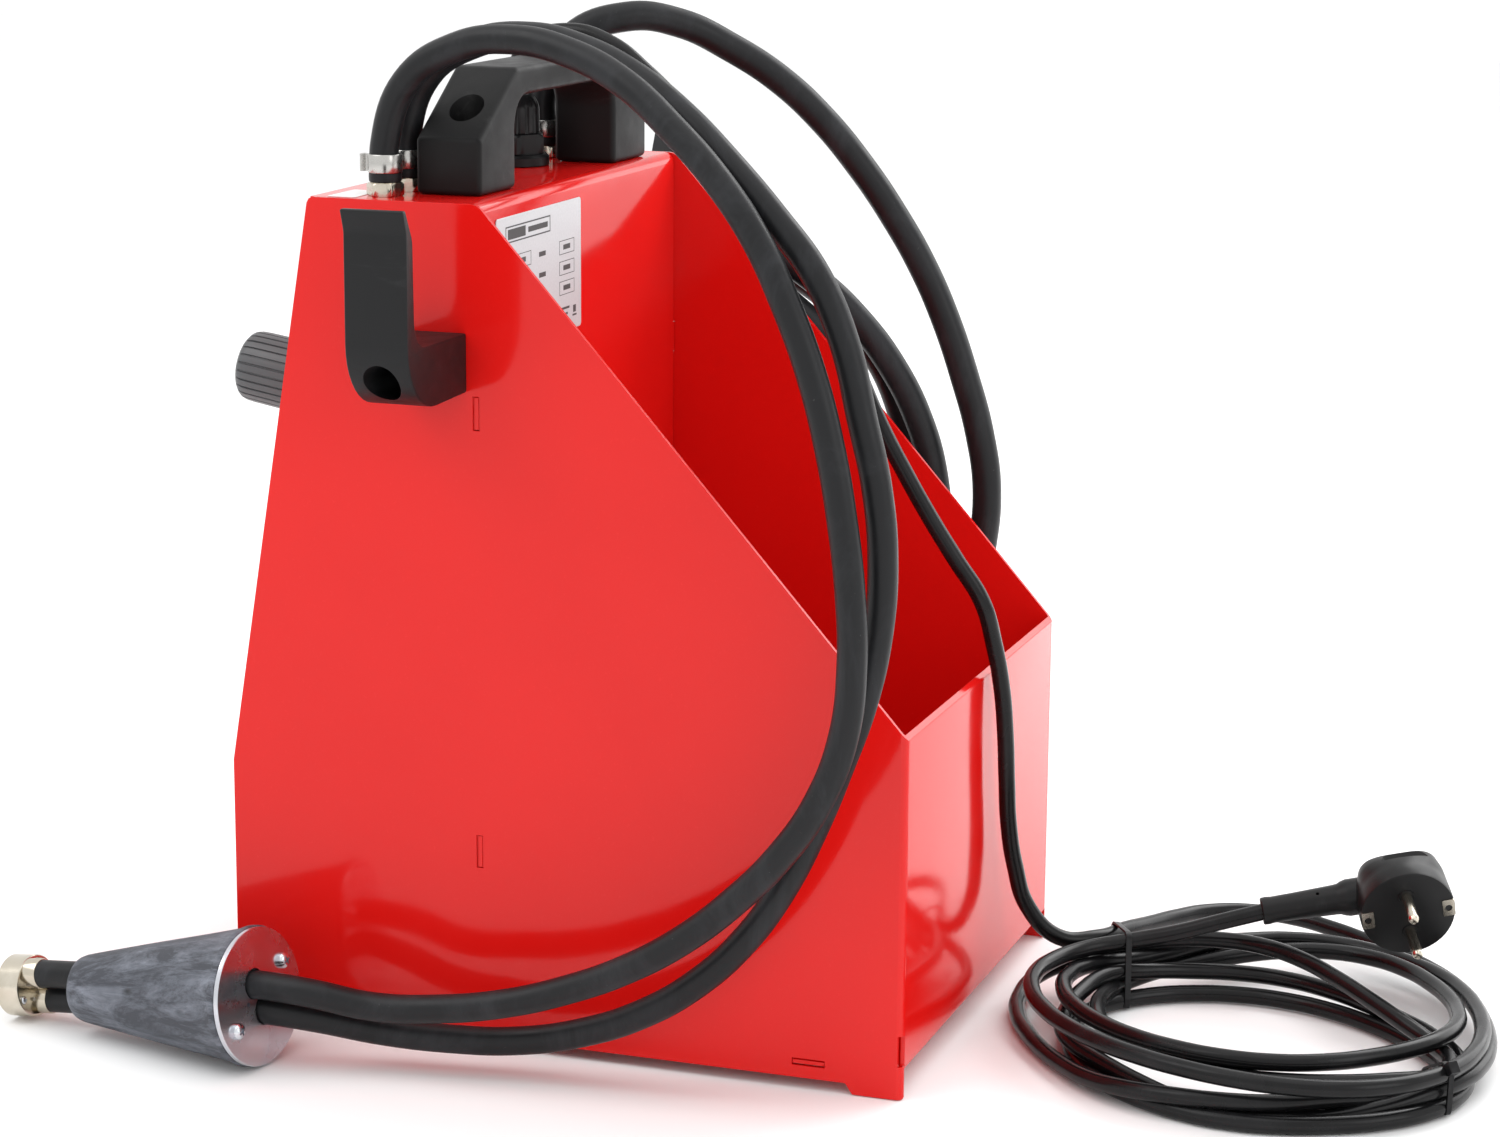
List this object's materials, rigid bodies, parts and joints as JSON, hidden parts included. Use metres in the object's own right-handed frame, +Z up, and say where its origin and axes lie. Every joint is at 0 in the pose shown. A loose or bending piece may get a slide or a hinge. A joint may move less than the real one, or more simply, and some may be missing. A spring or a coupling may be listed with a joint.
{
  "type": "brake bleeding unit",
  "caption": "Red sheet-metal fluid service unit: pump tower with gauge, pressure knob and switch, open canister basket, carry handle, hose hooks, suction cone, coiled hose and mains lead.",
  "frame": {"origin": "on the floor, under the middle of the unit's box without its free hoses and lead", "axes": "+X to the right of someone facing the control panel, +Y from the panel to the basket, +Z up"},
  "size_m": [0.3859, 0.6316, 0.4483],
  "materials": {
    "red_paint": "gloss powder coat",
    "black_plastic": "satin, fine grain",
    "grey_plastic": "satin",
    "rubber": "smooth extruded hose",
    "cone_rubber": "matt, chalky",
    "cable_pvc": "glossy sheath",
    "zinc_steel": "zinc plated",
    "stainless": "bright",
    "nickel": "nickel plated",
    "brass": "machined",
    "aluminium": "cast and turned",
    "copper_winding": "lacquered copper winding on a steel core",
    "label_silver": "satin foil",
    "dial_white": "white",
    "needle_black": "black",
    "clear_lens": "clear",
    "pipe_nylon": "natural nylon"
  },
  "bodies": {
    "unit": {"body_shell": "red_paint", "tower_shell": "red_paint", "front_panel": "red_paint", "base_plate": "red_paint", "rating_label": "label_silver", "carry_handle": "black_plastic", "hose_hook_right": "black_plastic", "hose_hook_left": "black_plastic", "regulator_nut": "black_plastic", "gauge_case": "black_plastic", "switch_housing": "black_plastic", "fuse_holder": "black_plastic", "terminal_block": "black_plastic", "cable_gland": "black_plastic", "mains_plug": "black_plastic", "handle_screw_right": "zinc_steel", "handle_screw_left": "zinc_steel", "hook_screw_right": "zinc_steel", "hook_screw_left": "zinc_steel", "motor_bracket": "zinc_steel", "cone_plate": "zinc_steel", "regulator_bonnet": "aluminium", "regulator_body": "aluminium", "motor_housing": "aluminium", "motor_end_cap": "aluminium", "capacitor": "aluminium", "pump_body": "brass", "pump_cover": "brass", "gauge_dial": "dial_white", "gauge_lens": "clear_lens", "motor_stator": "copper_winding", "suction_clamp": "stainless", "return_clamp": "stainless", "bleeder_clamp": "stainless", "suction_pipe": "pipe_nylon", "pressure_pipe": "pipe_nylon", "return_pipe": "pipe_nylon", "bleeder_pipe": "pipe_nylon", "suction_fitting": "nickel", "return_fitting": "nickel", "bleeder_fitting": "nickel", "bleeder_coupling": "nickel", "suction_head": "nickel", "suction_hose": "rubber", "return_hose": "rubber", "bleeder_hose": "rubber", "bleeder_coil": "rubber", "mains_cable": "cable_pvc", "mains_coil": "cable_pvc", "plug_lead": "cable_pvc", "rubber_cone": "cone_rubber"},
    "knob": {"regulator_knob": "grey_plastic", "adjusting_screw": "brass"},
    "spring_plate": {"spring_plate": "brass"},
    "needle": {"gauge_needle": "needle_black"},
    "rocker": {"switch_rocker": "black_plastic"},
    "fuse_cap": {"fuse_cap": "black_plastic"},
    "rotor": {"motor_rotor": "stainless", "cooling_fan": "black_plastic", "pump_rotor": "stainless"}
  },
  "joints": [
    {"name": "knob_turn", "type": "hinge", "parent": "unit", "child": "knob", "pos_m": [0.075, -0.12073, 0.28252], "axis": [0, -0.9868, 0.1617], "range_deg": [-540, 540]},
    {"name": "spring_plate_slide", "type": "slide", "parent": "unit", "child": "spring_plate", "axis": [0, -0.9868, 0.1617], "range_m": [-0.0015, 0.0015]},
    {"name": "needle_swing", "type": "hinge", "parent": "unit", "child": "needle", "pos_m": [-0.03, -0.12002, 0.28686], "axis": [0, -0.9868, 0.1617], "range_deg": [-270, 0]},
    {"name": "switch_rock", "type": "hinge", "parent": "unit", "child": "rocker", "pos_m": [0.075, -0.1321, 0.19765], "axis": [1, 0, 0], "range_deg": [0, 18]},
    {"name": "fuse_cap_turn", "type": "hinge", "parent": "unit", "child": "fuse_cap", "pos_m": [-0.065, -0.13861, 0.17338], "axis": [0, -0.9868, 0.1617], "range_deg": [0, 60]},
    {"name": "motor_spin", "type": "hinge", "parent": "unit", "child": "rotor", "pos_m": [0, -0.088, 0.078], "axis": [1, 0, 0], "continuous": true}
  ],
  "couplings": [
    {"joint": "spring_plate_slide", "follows": "knob_turn", "m_per_rad": 0.00015915}
  ]
}
